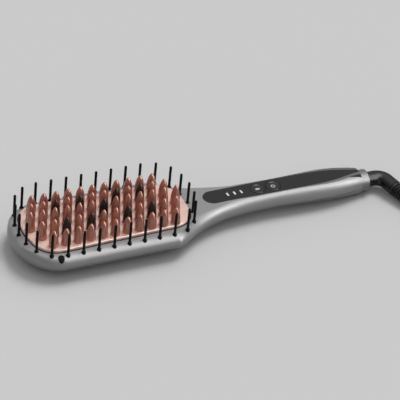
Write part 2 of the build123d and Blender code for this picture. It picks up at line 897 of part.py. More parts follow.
board_centre = board_start + board_length / 2
board_bottom = board_top - board_thickness
with BuildPart() as circuit_board:
    add(slab(board_centre, 0, board_bottom, board_length, board_width, board_thickness))
    fillet(circuit_board.edges().filter_by(Axis.Z), radius=1.5)
    for x, y in board_screw_places:
        add(rod(x, y, 0, board_top + 1, small_screw_radius + hole_gap), mode=Mode.SUBTRACT)
save(circuit_board.part, "circuit_board")

save(
    screws(
        board_screw_places,
        board_top - board_thickness,
        board_thickness + screw_bite,
        small_screw_radius - thread_gap,
        small_screw_head_radius,
        1.2,
    ),
    "board_screws",
)


# square push switches, each with a bore for its plunger
with BuildPart() as push_switches:
    for x in button_places:
        add(slab(x, 0, board_top, switch_side, switch_side, switch_height))
        add(rod(x, 0, board_top + 1.0, switch_top + 1, plunger_radius + plunger_gap), mode=Mode.SUBTRACT)
save(push_switches.part, "push_switches")


def push_button(x):
    """A round dished button with a retaining flange and a stem to its plunger."""
    top = grip_top + button_proud
    dish_radius = button_radius - 0.9
    dish_ball = (dish_radius**2 + button_dish_depth**2) / (2 * button_dish_depth)
    with BuildPart() as button:
        add(rod(x, 0, flange_bottom, top, button_radius))
        fillet(button.edges().group_by(Axis.Z)[-1], radius=0.5)
        add(rod(x, 0, flange_bottom, flange_top, button_radius + button_flange))
        add(rod(x, 0, plunger_top, flange_bottom, plunger_radius + 0.5))
        with Locations((x, 0, top + dish_ball - button_dish_depth)):
            Sphere(dish_ball, mode=Mode.SUBTRACT)
    return button.part


plunger_bottom = board_top + 1.0 + button_travel + plunger_gap
save(rod(mode_button_x, 0, plunger_bottom, plunger_top, plunger_radius), "mode_plunger")
save(rod(power_button_x, 0, plunger_bottom, plunger_top, plunger_radius), "power_plunger")
save(push_button(mode_button_x), "mode_button")
save(push_button(power_button_x), "power_button")

led_height = 0.9
with BuildPart() as indicator_leds:
    for x in window_places:
        add(slab(x, 0, board_top, window_width, window_length - 1.0, led_height))
save(indicator_leds.part, "indicator_leds")

with BuildPart() as indicator_windows:
    for x in window_places:
        window_bottom = board_top + led_height
        add(slab(x, 0, window_bottom, window_width, window_length, grip_top - window_bottom))
        add(slab(x, 0, grip_ceiling - 0.8, window_width + 1.0, window_length + 1.0, 0.8))
save(indicator_windows.part, "indicator_windows")


# ================= swivel at the end of the handle =================

collar_end = handle_end + collar_length
bush_end = collar_end - 0.5
bush_start = bush_end - bush_length
flange_end = bush_start - button_gap
flange_start = flange_end - spindle_flange_length
stub_start = flange_start - spindle_stub_length
elbow_start = collar_end + elbow_gap
spindle_end = elbow_start + 5.0


def sleeve(start, end, radius, bore):
    """A round sleeve along the swivel's axis; a bore of 0 leaves it solid."""
    with BuildPart() as part:
        with BuildSketch(Plane.YZ.offset(start)):
            with Locations((0, swivel_height)):
                Circle(radius)
                if bore:
                    Circle(bore, mode=Mode.SUBTRACT)
        extrude(amount=end - start)
    return part.part


with BuildPart() as end_collar:
    add(sleeve(handle_end, collar_end, collar_radius, bush_radius + inlay_gap))
    fillet(end_collar.edges().group_by(Axis.X)[-1].sort_by(SortBy.RADIUS)[-1], radius=1.0)
save(end_collar.part, "end_collar")

save(sleeve(bush_start, bush_end, bush_radius, spindle_radius + running_gap), "swivel_bush")

with BuildPart() as swivel_spindle:
    add(sleeve(flange_start, spindle_end, spindle_radius, 0))
    add(sleeve(flange_start, flange_end, spindle_flange_radius, 0))
    add(sleeve(stub_start, flange_start, spindle_stub_radius, 0))
save(swivel_spindle.part, "swivel_spindle")

ring_places = [stub_start + 2.0, stub_start + 2.0 + contact_ring_pitch]
ring_radius = spindle_stub_radius + contact_ring_thickness
with BuildPart() as contact_rings:
    for x in ring_places:
        add(sleeve(x, x + contact_ring_width, ring_radius, spindle_stub_radius))
save(contact_rings.part, "contact_rings")

finger_length = 1.6
finger_width = contact_ring_width - 0.8
finger_height = 2.0
finger_y = ring_radius + running_gap + finger_length / 2
finger_bottom = swivel_height - finger_height / 2
block_start = ring_radius + running_gap + finger_length
with BuildPart() as contact_fingers:
    for x in ring_places:
        add(slab(x + contact_ring_width / 2, finger_y, finger_bottom, finger_width, finger_length, finger_height))
save(contact_fingers.part, "contact_fingers")

block_length = contact_ring_pitch + contact_ring_width + 3.0
block_x = ring_places[0] + (contact_ring_pitch + contact_ring_width) / 2
block_depth = 8.0
block_height = 7.0
block_y = block_start + block_depth / 2
block_bottom = swivel_height - block_height / 2
with BuildPart() as contact_block:
    add(slab(block_x, block_y, block_bottom, block_length, block_depth, block_height))
    add(inner_block, mode=Mode.INTERSECT)
save(contact_block.part, "contact_block")


# ================= elbow, strain relief and cord =================

turn = radians(elbow_turn)
lead_way = Vector(cos(turn), -sin(turn), -elbow_drop).normalized()
elbow_corner = Vector(elbow_start + elbow_first_leg, 0, swivel_height)
elbow_end = elbow_corner + lead_way * elbow_second_leg
relief_end = elbow_end + lead_way * relief_length

with BuildPart() as swivel_elbow:
    with BuildLine():
        bend_start = (elbow_start, 0, swivel_height)
        FilletPolyline(bend_start, elbow_corner, elbow_end, radius=elbow_bend_radius)
    with BuildSketch(Plane.YZ.offset(elbow_start)):
        with Locations((0, swivel_height)):
            Circle(elbow_radius)
    sweep()
    add(sleeve(elbow_start - 1, spindle_end, spindle_radius, 0), mode=Mode.SUBTRACT)
save(swivel_elbow.part, "swivel_elbow")

relief_plane = Plane(origin=elbow_end, x_dir=Vector(sin(turn), cos(turn), 0), z_dir=lead_way)
with BuildPart() as strain_relief:
    with BuildSketch(relief_plane):
        Circle(relief_base_radius)
    with BuildSketch(relief_plane.offset(relief_length)):
        Circle(relief_tip_radius)
    loft()
    groove_pitch = relief_length / (relief_rib_count + 1)
    relief_taper = (relief_tip_radius - relief_base_radius) / relief_length
    for number in range(relief_rib_count):
        reach = (number + 0.75) * groove_pitch
        outside = relief_base_radius + relief_taper * reach
        with BuildSketch(relief_plane.offset(reach)):
            Circle(outside + 1)
            Circle(outside - relief_groove_depth, mode=Mode.SUBTRACT)
        extrude(amount=groove_pitch / 2, mode=Mode.SUBTRACT)
save(strain_relief.part, "strain_relief")

# the cord sinks to the floor and bends gently towards the coil
cord_floor = cord_radius + 0.1
cord_headings = [elbow_turn - 5.0, elbow_turn - 10.5, elbow_turn - 15.5]
cord_heights = [cord_floor + 0.2, cord_floor, cord_floor]
cord_points = [relief_end, relief_end + lead_way * cord_run]
for heading, height in zip(cord_headings, cord_heights):
    last = cord_points[-1]
    run_x = cord_run * cos(radians(heading))
    run_y = -cord_run * sin(radians(heading))
    cord_points.append(Vector(last.X + run_x, last.Y + run_y, height))

cord_radii = []
for before, corner, after in zip(cord_points, cord_points[1:], cord_points[2:]):
    bend = radians((corner - before).get_angle(after - corner))
    shorter = min((corner - before).length, (after - corner).length)
    cord_radii.append(0.45 * shorter / tan(bend / 2))
print("cord radii", [round(radius, 1) for radius in cord_radii])


def cord_tube(points, radii):
    """A round tube along straight runs joined by tangent arcs."""
    with BuildPart() as tube:
        with BuildLine() as route:
            FilletPolyline(points, radius=radii)
        start = route.wires()[0]
        with BuildSketch(Plane(origin=start @ 0, z_dir=start % 0)):
            Circle(cord_radius)
        sweep(path=start)
    drawn = round(pi * cord_radius**2 * start.length)
    print("tube volume", round(tube.part.volume), "section x length", drawn)
    return tube.part


save(cord_tube(cord_points, cord_radii), "power_cord")

# the coil lies flat; the cord joins its outer, lowest turn along its last heading
coil_diameter = 2 * cord_radius
outer_turn_radius = coil_mean_radius + (coil_turns_wide - 1) / 2 * coil_diameter
join_angle = radians(cord_headings[-1])
join = cord_points[-1]
coil_x = join.X + outer_turn_radius * sin(join_angle)
coil_y = join.Y + outer_turn_radius * cos(join_angle)
coil_height = coil_turns_high * coil_diameter
coil_half_width = coil_turns_wide * coil_diameter / 2
coil_floor = cord_floor - cord_radius

with BuildPart() as cord_coil:
    with BuildSketch(Plane.XY.offset(coil_floor)):
        with Locations((coil_x, coil_y)):
            Circle(coil_mean_radius + coil_half_width)
            Circle(coil_mean_radius - coil_half_width, mode=Mode.SUBTRACT)
    extrude(amount=coil_height)
    fillet(cord_coil.edges().filter_by(GeomType.CIRCLE), radius=0.9 * cord_radius)
save(cord_coil.part, "cord_coil")

tie_y = coil_y + coil_mean_radius
tie_wide = 2 * coil_half_width + 2 * tie_thickness
tie_high = coil_height + tie_thickness - tie_sink
tie_middle = coil_floor + tie_sink + tie_high / 2
with BuildPart() as coil_tie:
    with BuildSketch(Plane.YZ.offset(coil_x - tie_width / 2)):
        with Locations((tie_y, tie_middle)):
            RectangleRounded(tie_wide, tie_high, cord_radius)
            RectangleRounded(
                tie_wide - 2 * tie_thickness,
                tie_high - 2 * tie_thickness,
                cord_radius - tie_thickness,
                mode=Mode.SUBTRACT,
            )
    extrude(amount=tie_width)
save(coil_tie.part, "coil_tie")

# the cord leaves the top of the coil and ends in its plug, which lies beside the coil
exit_angle = radians(exit_turn)
plug_side = Vector(cos(exit_angle), sin(exit_angle), 0)
plug_way = Vector(-sin(exit_angle), cos(exit_angle), 0)
plug_height = plug_body_height / 2 + coil_floor
lead_foot = Vector(coil_x, coil_y, 0) + plug_side * outer_turn_radius + plug_way * cord_radius
lead_top = coil_height - cord_radius


def lead_point(reach, height):
    """A point over the straight line on the floor under the plug's lead."""
    return lead_foot + plug_way * reach + Vector(0, 0, height)


lead_points = [
    lead_point(0, lead_top),
    lead_point(0.32 * plug_lead_length, lead_top - 0.2 * (lead_top - plug_height)),
    lead_point(0.68 * plug_lead_length, plug_height),
    lead_point(plug_lead_length, plug_height),
]
lead_radii = []
for before, corner, after in zip(lead_points, lead_points[1:], lead_points[2:]):
    bend = radians((corner - before).get_angle(after - corner))
    shorter = min((corner - before).length, (after - corner).length)
    lead_radii.append(0.45 * shorter / tan(bend / 2))
print("plug lead radii", [round(radius, 1) for radius in lead_radii])
save(cord_tube(lead_points, lead_radii), "plug_lead")


def plug_plane(reach):
    """A plane across the plug, this far from the end of its lead."""
    return Plane(origin=lead_points[-1] + plug_way * reach, x_dir=plug_side, z_dir=plug_way)


plug_end = plug_relief_length + plug_body_length
with BuildPart() as plug_body:
    with BuildSketch(plug_plane(plug_relief_length)):
        RectangleRounded(plug_body_width * 0.5, plug_body_height, 5.0)
    with BuildSketch(plug_plane(plug_relief_length + plug_body_length * 0.45)):
        RectangleRounded(plug_body_width, plug_body_height, 5.0)
    with BuildSketch(plug_plane(plug_end)):
        RectangleRounded(plug_body_width * 0.92, plug_body_height, 5.0)
    loft(ruled=True)
    with BuildSketch(plug_plane(0)):
        Circle(cord_radius + 1.0)
    extrude(amount=plug_relief_length + 1.0)
save(plug_body.part, "plug_body")

with BuildPart() as plug_pins:
    with BuildSketch(plug_plane(plug_end)):
        with Locations((-plug_pin_spacing / 2, 0), (plug_pin_spacing / 2, 0)):
            Circle(plug_pin_radius)
    extrude(amount=plug_pin_length)
    fillet(plug_pins.edges().group_by(Axis(lead_points[-1], plug_way))[-1], radius=plug_pin_radius / 2)
save(plug_pins.part, "plug_pins")


# ================= wires inside the housing =================


def wire(points, radius, bend):
    """An insulated wire along a route with equal bends."""
    with BuildPart() as lead:
        with BuildLine() as route:
            FilletPolyline(points, radius=bend)
        way = route.wires()[0]
        with BuildSketch(Plane(origin=way @ 0, z_dir=way % 0)):
            Circle(radius)
        sweep(path=way)
    return lead.part


wire_radius = 0.8
board_middle = board_top - board_thickness / 2
block_front = block_x - block_length / 2
with BuildPart() as mains_wires:
    for number in (0, 1):
        wire_y = block_start + 1.5 + 2.2 * number
        route = [
            (block_front, wire_y, swivel_height - 1.0),
            (block_front - 9.0, wire_y, swivel_height - 1.0),
            (board_end + 6.0, wire_y - 1.0, board_middle),
            (board_end, wire_y - 1.0, board_middle),
        ]
        add(wire(route, wire_radius, 3.0))
save(mains_wires.part, "mains_wires")

electrode_end = pad_centre + stack_length / 2
under_frame = frame_bottom - wire_radius - 0.3
beside_elements = element_bottom + wire_radius
with BuildPart() as heater_wires:
    for side in (-1, 1):
        route = [
            (board_start - 0.2, side * 5.0, board_middle),
            (board_start - 6.0, side * 5.0, board_middle),
            (generator_x + generator_length / 2, side * 6.0, under_frame),
            (plate_heel - 3.0, side * 6.0, under_frame - 0.1),
            (electrode_end + 6.0, side * 6.0, beside_elements),
            (electrode_end + 0.5, side * 6.0, beside_elements),
        ]
        add(wire(route, wire_radius, 3.0))
save(heater_wires.part, "heater_wires")

ion_wire_radius = 0.6
ion_wire_start = generator_x - 6.0
ion_wire_y = -(shield_width / 2 + 4.0)
with BuildPart() as ion_wire:
    route = [
        (ion_wire_start, -generator_width / 2, generator_bottom + 3.0),
        (ion_wire_start, -generator_width / 2 - 7.0, generator_bottom + 3.0),
        (ion_wire_start - 12.0, ion_wire_y, shield_bottom + 2.0),
        (ion_outlet_x + 14.0, ion_wire_y, shield_bottom + 2.0),
        (ion_outlet_x, emitter_y, emitter_bottom - 3.5),
        (ion_outlet_x, emitter_y, emitter_bottom),
    ]
    add(wire(route, ion_wire_radius, 2.5))
save(ion_wire.part, "ion_wire")
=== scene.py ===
from math import cos, pi, radians, sin

import bmesh
import bpy
from mathutils import Matrix, Vector


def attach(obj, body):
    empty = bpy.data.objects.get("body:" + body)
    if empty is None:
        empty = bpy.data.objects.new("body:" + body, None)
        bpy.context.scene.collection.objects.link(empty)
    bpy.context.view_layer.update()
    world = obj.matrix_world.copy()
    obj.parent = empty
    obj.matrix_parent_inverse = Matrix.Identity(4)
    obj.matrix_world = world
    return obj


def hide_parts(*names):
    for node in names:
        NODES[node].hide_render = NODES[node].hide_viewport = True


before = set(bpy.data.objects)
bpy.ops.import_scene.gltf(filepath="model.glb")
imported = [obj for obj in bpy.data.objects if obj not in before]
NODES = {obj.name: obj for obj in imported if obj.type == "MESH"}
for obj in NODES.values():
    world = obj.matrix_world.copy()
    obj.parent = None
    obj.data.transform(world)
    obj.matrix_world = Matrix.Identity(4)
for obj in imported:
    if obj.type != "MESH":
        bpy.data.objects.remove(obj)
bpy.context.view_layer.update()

# A heated straightening brush lying on its back, bristles up, handle along +X.
# Blender's unit is the metre; MM turns the maker's millimetres into metres.
MM = 0.001


# ---------------------------------------------------------------- materials

# the sockets of a Mix node that mixes colours
MIX_SHARE, MIX_FIRST, MIX_SECOND, MIX_RESULT = 0, 6, 7, 2
GRAIN_SIZE = 2600.0  # noise scale of the moulded grain
GRAIN_DEPTH = 0.05
CLOUD_SIZE = 60.0  # noise scale of the slow changes of gloss
FLAKE_SIZE = 9000.0  # cell scale of the flakes in a paint


def shader_group(name, inputs, outputs):
    """An empty node group with named sockets, given as (name, default) pairs."""
    group = bpy.data.node_groups.new(name, "ShaderNodeTree")
    for socket, default in inputs:
        made = group.interface.new_socket(socket, in_out="INPUT", socket_type="NodeSocketFloat")
        made.default_value = default
    for socket, kind in outputs:
        group.interface.new_socket(socket, in_out="OUTPUT", socket_type=kind)
    return group, group.nodes.new("NodeGroupInput"), group.nodes.new("NodeGroupOutput")


def math_node(tree, operation, first, second=None):
    """One Math node fed by sockets or numbers."""
    node = tree.nodes.new("ShaderNodeMath")
    node.operation = operation
    for slot, value in enumerate((first, second)):
        if value is None:
            continue
        if isinstance(value, (int, float)):
            node.inputs[slot].default_value = value
        else:
            tree.links.new(value, node.inputs[slot])
    return node.outputs[0]


def colour_mix(tree, share, first, second):
    """Goes from first to second as the share socket goes from 0 to 1.

    Both are a socket or an (r, g, b) colour.
    """
    node = tree.nodes.new("ShaderNodeMix")
    node.data_type = "RGBA"
    tree.links.new(share, node.inputs[MIX_SHARE])
    for slot, value in ((MIX_FIRST, first), (MIX_SECOND, second)):
        if isinstance(value, tuple):
            node.inputs[slot].default_value = (*value, 1.0)
        else:
            tree.links.new(value, node.inputs[slot])
    return node.outputs[MIX_RESULT]


def moulded_grain_group():
    """Fine spark-eroded grain of a moulded surface, with slow changes of gloss."""
    group, given, result = shader_group(
        "moulded_grain",
        [
            ("Grain Size", GRAIN_SIZE), ("Cloud Size", CLOUD_SIZE),
            ("Low Rough", 0.3), ("High Rough", 0.4),
        ],
        [("Height", "NodeSocketFloat"), ("Roughness", "NodeSocketFloat")],
    )
    place = group.nodes.new("ShaderNodeTexCoord")
    grain = group.nodes.new("ShaderNodeTexNoise")
    grain.inputs["Detail"].default_value = 2.0
    cloud = group.nodes.new("ShaderNodeTexNoise")
    cloud.inputs["Detail"].default_value = 3.0
    span = group.nodes.new("ShaderNodeMapRange")
    span.inputs["From Min"].default_value = 0.3
    span.inputs["From Max"].default_value = 0.7
    link = group.links.new
    link(place.outputs["Object"], grain.inputs["Vector"])
    link(place.outputs["Object"], cloud.inputs["Vector"])
    link(given.outputs["Grain Size"], grain.inputs["Scale"])
    link(given.outputs["Cloud Size"], cloud.inputs["Scale"])
    link(cloud.outputs["Fac"], span.inputs["Value"])
    link(given.outputs["Low Rough"], span.inputs["To Min"])
    link(given.outputs["High Rough"], span.inputs["To Max"])
    link(grain.outputs["Fac"], result.inputs["Height"])
    link(span.outputs["Result"], result.inputs["Roughness"])
    return group


def flake_group():
    """Tiny metal flakes in a paint: a colour factor that sparkles from flake to flake."""
    group, given, result = shader_group(
        "paint_flake",
        [("Flake Size", FLAKE_SIZE), ("Strength", 0.08)],
        [("Shade", "NodeSocketFloat"), ("Height", "NodeSocketFloat")],
    )
    place = group.nodes.new("ShaderNodeTexCoord")
    flake = group.nodes.new("ShaderNodeTexVoronoi")
    flake.feature = "F1"
    link = group.links.new
    link(place.outputs["Object"], flake.inputs["Vector"])
    link(given.outputs["Flake Size"], flake.inputs["Scale"])
    split = group.nodes.new("ShaderNodeSeparateColor")
    link(flake.outputs["Color"], split.inputs["Color"])
    centred = math_node(group, "SUBTRACT", split.outputs["Red"], 0.5)
    scaled = math_node(group, "MULTIPLY", centred, given.outputs["Strength"])
    shade = math_node(group, "ADD", scaled, 1.0)
    link(shade, result.inputs["Shade"])
    link(split.outputs["Green"], result.inputs["Height"])
    return group


def seam_group():
    """A thin band at one height: where two mouldings meet."""
    group, given, result = shader_group(
        "parting_seam", [("Height", 0.0), ("Half Width", 0.0002)], [("Mask", "NodeSocketFloat")],
    )
    place = group.nodes.new("ShaderNodeTexCoord")
    split = group.nodes.new("ShaderNodeSeparateXYZ")
    group.links.new(place.outputs["Object"], split.inputs[0])
    above = math_node(group, "SUBTRACT", split.outputs["Z"], given.outputs["Height"])
    off = math_node(group, "ABSOLUTE", above)
    inside = math_node(group, "LESS_THAN", off, given.outputs["Half Width"])
    group.links.new(inside, result.inputs["Mask"])
    return group


def mark_group():
    """A printed mark: the band between two distances from a short line along X."""
    group, given, result = shader_group(
        "printed_mark",
        [
            ("Centre X", 0.0), ("Half Length", 0.0),
            ("Inner", 0.001), ("Outer", 0.002), ("Low", 0.02),
        ],
        [("Mask", "NodeSocketFloat")],
    )
    place = group.nodes.new("ShaderNodeTexCoord")
    split = group.nodes.new("ShaderNodeSeparateXYZ")
    group.links.new(place.outputs["Object"], split.inputs[0])
    from_centre = math_node(group, "SUBTRACT", split.outputs["X"], given.outputs["Centre X"])
    along = math_node(group, "ABSOLUTE", from_centre)
    beyond = math_node(group, "SUBTRACT", along, given.outputs["Half Length"])
    past = math_node(group, "MAXIMUM", beyond, 0.0)
    squares = math_node(
        group, "ADD", math_node(group, "MULTIPLY", past, past),
        math_node(group, "MULTIPLY", split.outputs["Y"], split.outputs["Y"]),
    )
    away = math_node(group, "SQRT", squares)
    inside = math_node(group, "LESS_THAN", away, given.outputs["Outer"])
    outside = math_node(group, "GREATER_THAN", away, given.outputs["Inner"])
    on_top = math_node(group, "GREATER_THAN", split.outputs["Z"], given.outputs["Low"])
    both = math_node(group, "MULTIPLY", inside, outside)
    group.links.new(math_node(group, "MULTIPLY", both, on_top), result.inputs["Mask"])
    return group


GRAIN = moulded_grain_group()
FLAKE = flake_group()
SEAM = seam_group()
MARK = mark_group()


def finish(name, colour, metallic, roughness, grain=GRAIN_SIZE, bump=0.1, **sockets):
    """A finish with grain and slow gloss changes; roughness is its lowest and highest value.

    The sockets set more values of the shader.
    """
    made = bpy.data.materials.new(name)
    made.use_nodes = True
    tree = made.node_tree
    shader = tree.nodes["Principled BSDF"]
    shader.inputs["Base Color"].default_value = (*colour, 1.0)
    shader.inputs["Metallic"].default_value = metallic
    for socket, value in sockets.items():
        shader.inputs[socket.replace("_", " ")].default_value = value
    skin = tree.nodes.new("ShaderNodeGroup")
    skin.node_tree = GRAIN
    skin.inputs["Grain Size"].default_value = grain
    skin.inputs["Low Rough"].default_value = roughness[0]
    skin.inputs["High Rough"].default_value = roughness[1]
    relief = tree.nodes.new("ShaderNodeBump")
    relief.inputs["Strength"].default_value = bump
    relief.inputs["Distance"].default_value = GRAIN_DEPTH * MM
    tree.links.new(skin.outputs["Height"], relief.inputs["Height"])
    tree.links.new(skin.outputs["Roughness"], shader.inputs["Roughness"])
    tree.links.new(relief.outputs["Normal"], shader.inputs["Normal"])
    return made


def masked(made, group, colour, **values):
    """Paints a colour over a finish where a mask group says so."""
    tree = made.node_tree
    base = tree.nodes["Principled BSDF"].inputs["Base Color"]
    mask = tree.nodes.new("ShaderNodeGroup")
    mask.node_tree = group
    for socket, value in values.items():
        mask.inputs[socket.replace("_", " ")].default_value = value
    under = base.links[0].from_socket if base.is_linked else tuple(base.default_value[:3])
    tree.links.new(colour_mix(tree, mask.outputs["Mask"], under, colour), base)
    return made


def flaked(made, colour, strength):
    """Adds metal flakes to a paint."""
    tree = made.node_tree
    flakes = tree.nodes.new("ShaderNodeGroup")
    flakes.node_tree = FLAKE
    flakes.inputs["Flake Size"].default_value = FLAKE_SIZE
    flakes.inputs["Strength"].default_value = strength
    scale = tree.nodes.new("ShaderNodeVectorMath")
    scale.operation = "SCALE"
    scale.inputs[0].default_value = colour
    tree.links.new(flakes.outputs["Shade"], scale.inputs["Scale"])
    tree.links.new(scale.outputs[0], tree.nodes["Principled BSDF"].inputs["Base Color"])
    return made


SILVER_TONE = (0.32, 0.32, 0.323)
ROSE_TONE = (0.92, 0.67, 0.59)
CONE_TONE = (0.47, 0.20, 0.145)
GUNMETAL_TONE = (0.26, 0.26, 0.265)

silver = flaked(
    finish("satin_silver_paint", SILVER_TONE, 0.3, (0.38, 0.44), bump=0.03), SILVER_TONE, 0.10,
)
collar_silver = finish("collar_silver", (0.22, 0.22, 0.22), 0.5, (0.34, 0.40), bump=0.02)
rose_plate = flaked(
    finish("rose_gold_coating", ROSE_TONE, 0.2, (0.3, 0.38), bump=0.04), ROSE_TONE, 0.08,
)
rose_cone = flaked(
    finish("rose_gold_cone", CONE_TONE, 0.5, (0.24, 0.31), bump=0.04, Specular_IOR_Level=1.0),
    CONE_TONE, 0.08,
)
dark_cone = finish("dark_cone", (0.016, 0.010, 0.008), 0.0, (0.26, 0.34), bump=0.08)
shiny_cone = finish("shiny_dark_cone", (0.012, 0.012, 0.014), 0.0, (0.12, 0.18), bump=0.03)
pin_black = finish(
    "guard_pin_black", (0.003, 0.003, 0.003), 0.0, (0.4, 0.5), bump=0.1, Specular_IOR_Level=0.12,
)
gloss_panel = finish("gloss_panel_black", (0.014, 0.014, 0.015), 0.0, (0.08, 0.12), bump=0.01)
gunmetal = flaked(
    finish("gunmetal_paint", GUNMETAL_TONE, 0.8, (0.25, 0.32), bump=0.03), GUNMETAL_TONE, 0.1,
)
wedge_black = finish("wedge_black", (0.010, 0.010, 0.010), 0.0, (0.2, 0.3), bump=0.05)
elbow_black = finish("elbow_black", (0.008, 0.008, 0.008), 0.0, (0.24, 0.32), bump=0.06)
relief_black = finish("relief_black", (0.006, 0.006, 0.006), 0.0, (0.35, 0.45), bump=0.15)
cord_black = finish(
    "cord_sheath_black", (0.016, 0.016, 0.016), 0.0, (0.34, 0.44), grain=1800.0, bump=0.15,
)
seal_black = finish(
    "seal_silicone", (0.004, 0.004, 0.004), 0.0, (0.5, 0.6), bump=0.1, Specular_IOR_Level=0.2,
)
window_white = finish("frosted_window", (0.72, 0.73, 0.75), 0.0, (0.3, 0.4), bump=0.05)
zinc = finish("zinc_plate", (0.56, 0.56, 0.55), 1.0, (0.3, 0.42), bump=0.08)
nickel = finish("nickel_plate", (0.68, 0.66, 0.62), 1.0, (0.15, 0.22), bump=0.03)
brass = finish("bare_brass", (0.70, 0.50, 0.22), 1.0, (0.25, 0.35), bump=0.08)
board_green = finish("solder_mask", (0.02, 0.16, 0.06), 0.0, (0.25, 0.35), bump=0.1)
component = finish("component_black", (0.02, 0.02, 0.02), 0.0, (0.45, 0.55), bump=0.2)
fired_ceramic = finish("fired_ceramic", (0.42, 0.39, 0.35), 0.0, (0.6, 0.7), bump=0.3)
amber_film = finish("amber_film", (0.55, 0.28, 0.05), 0.0, (0.2, 0.3), bump=0.05)
mica = finish("laminated_mica", (0.5, 0.42, 0.3), 0.2, (0.35, 0.55), bump=0.3)
natural_acetal = finish("natural_acetal", (0.76, 0.75, 0.71), 0.0, (0.35, 0.45), bump=0.08)
frame_grey = finish("frame_plastic", (0.10, 0.10, 0.10), 0.0, (0.45, 0.55), bump=0.2)
wire_red = finish("wire_insulation", (0.33, 0.03, 0.025), 0.0, (0.4, 0.5), bump=0.1)

# the parting line where the front and rear shells meet: a thin near-black band painted into the
# silver, which is painted shade of the gap between the shells
PARTING_HEIGHT = 9.3
PARTING_HALF_WIDTH = 0.2
SEAM_PAINTED_SHADE = (0.03, 0.03, 0.03)
masked(silver, SEAM, SEAM_PAINTED_SHADE, Height=PARTING_HEIGHT * MM, Half_Width=PARTING_HALF_WIDTH * MM)
BUTTON_TONE = (0.02, 0.02, 0.021)
MARK_WHITE = (0.6, 0.6, 0.6)
MARK_LOW = 20.5  # the marks are printed above this height
NO_HOLE = -1.0  # an inner distance that leaves the mark filled
MODE_X = 132.0
POWER_X = 145.7
mode_black = masked(
    finish("mode_button_black", BUTTON_TONE, 0.0, (0.14, 0.2), bump=0.02), MARK, MARK_WHITE,
    Centre_X=MODE_X * MM, Half_Length=0.9 * MM, Inner=NO_HOLE, Outer=0.95 * MM, Low=MARK_LOW * MM,
)
power_black = masked(
    finish("power_button_black", BUTTON_TONE, 0.0, (0.14, 0.2), bump=0.02), MARK, MARK_WHITE,
    Centre_X=POWER_X * MM, Half_Length=0.0, Inner=1.2 * MM, Outer=1.85 * MM, Low=MARK_LOW * MM,
)

NODE_FINISH = {
    "front_shell": silver, "rear_shell": silver, "end_collar": collar_silver,
    "heated_plate": rose_plate, "plate_seal": seal_black, "pin_frame": frame_grey,
    "control_panel": gloss_panel, "trim_strips": gunmetal, "tail_wedges": wedge_black,
    "indicator_windows": window_white, "indicator_leds": window_white,
    "mode_button": mode_black, "power_button": power_black,
    "mode_plunger": natural_acetal, "power_plunger": natural_acetal, "push_switches": component,
    "circuit_board": board_green, "board_screws": zinc, "handle_screws": zinc, "head_screws": zinc,
    "plate_screws": zinc, "clamp_screws": zinc, "heater_clamp": zinc,
    "insulating_films": amber_film, "electrode_strips": brass, "heating_elements": fired_ceramic,
    "thermal_fuse": fired_ceramic, "temperature_sensor": fired_ceramic, "heat_shield": mica,
    "heater_wires": wire_red, "mains_wires": wire_red, "ion_wire": wire_red,
    "ion_generator": component, "ion_emitter": component, "ion_grille": pin_black,
    "swivel_bush": natural_acetal, "swivel_spindle": component, "contact_rings": brass,
    "contact_fingers": brass, "contact_block": frame_grey, "swivel_elbow": elbow_black,
    "plug_body": cord_black, "plug_pins": nickel, "coil_tie": cord_black,
    "strain_relief": relief_black,
    "guard_pins_heel": pin_black, "guard_pins_left": pin_black,
    "guard_pins_right": pin_black, "guard_pins_toe": pin_black,
    "dark_bristles_middle": shiny_cone,
    "dark_bristles_left_inner": dark_cone, "dark_bristles_right_inner": dark_cone,
    "heated_bristles_left_inner": rose_cone, "heated_bristles_left_outer": rose_cone,
    "heated_bristles_middle": rose_cone, "heated_bristles_right_inner": rose_cone,
    "heated_bristles_right_outer": rose_cone,
}
for node, made in NODE_FINISH.items():
    NODES[node].material_slots[0].material = made


# ---------------------------------------------------------------- modelled pieces

WELD = 0.001  # points closer than this are one
SHARP_ANGLE = 40  # edges that bend more than this many degrees stay crisp
CONE_SEGMENTS = 28
PIN_SEGMENTS = 20
BUTTON_SEGMENTS = 64
RELIEF_SEGMENTS = 48


def turned(shape, profile, segments):
    """Turns a profile of (radius, height) points round Z into a closed skin.

    The profile runs from its lower end on the axis to its upper end on the axis.
    """
    turns = [2 * pi * number / segments for number in range(segments)]
    rings = []
    for radius, height in profile:
        if radius == 0:
            rings.append([shape.verts.new((0, 0, height * MM))] * segments)
            continue
        reach = radius * MM
        ring = [(reach * cos(turn), reach * sin(turn), height * MM) for turn in turns]
        rings.append([shape.verts.new(point) for point in ring])
    for low, high in zip(rings, rings[1:]):
        for here in range(segments):
            ahead = (here + 1) % segments
            corners = (low[here], low[ahead], high[ahead], high[here])
            shape.faces.new(dict.fromkeys(corners))


def copies_of(profile, places, segments):
    """One mesh that holds a turned piece at each of its places (x, y)."""
    one = bmesh.new()
    turned(one, profile, segments)
    part = bpy.data.meshes.new("turned_part")
    one.to_mesh(part)
    one.free()
    many = bmesh.new()
    for x, y in places:
        before = len(many.verts)
        many.from_mesh(part)
        many.verts.ensure_lookup_table()
        bmesh.ops.translate(many, verts=many.verts[before:], vec=(x * MM, y * MM, 0))
    bpy.data.meshes.remove(part)
    return many


def finished(shape, name, made, body, slot, *nodes):
    """Turns a bmesh into an object that rides a body and replaces CAD nodes."""
    mesh = bpy.data.meshes.new(name)
    shape.to_mesh(mesh)
    shape.free()
    for face in mesh.polygons:
        face.use_smooth = True
    mesh.set_sharp_from_angle(angle=radians(SHARP_ANGLE))
    mesh.materials.append(made)
    made_object = bpy.data.objects.new(name, mesh)
    bpy.context.scene.collection.objects.link(made_object)
    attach(made_object, body)
    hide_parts(*nodes)
    return made_object


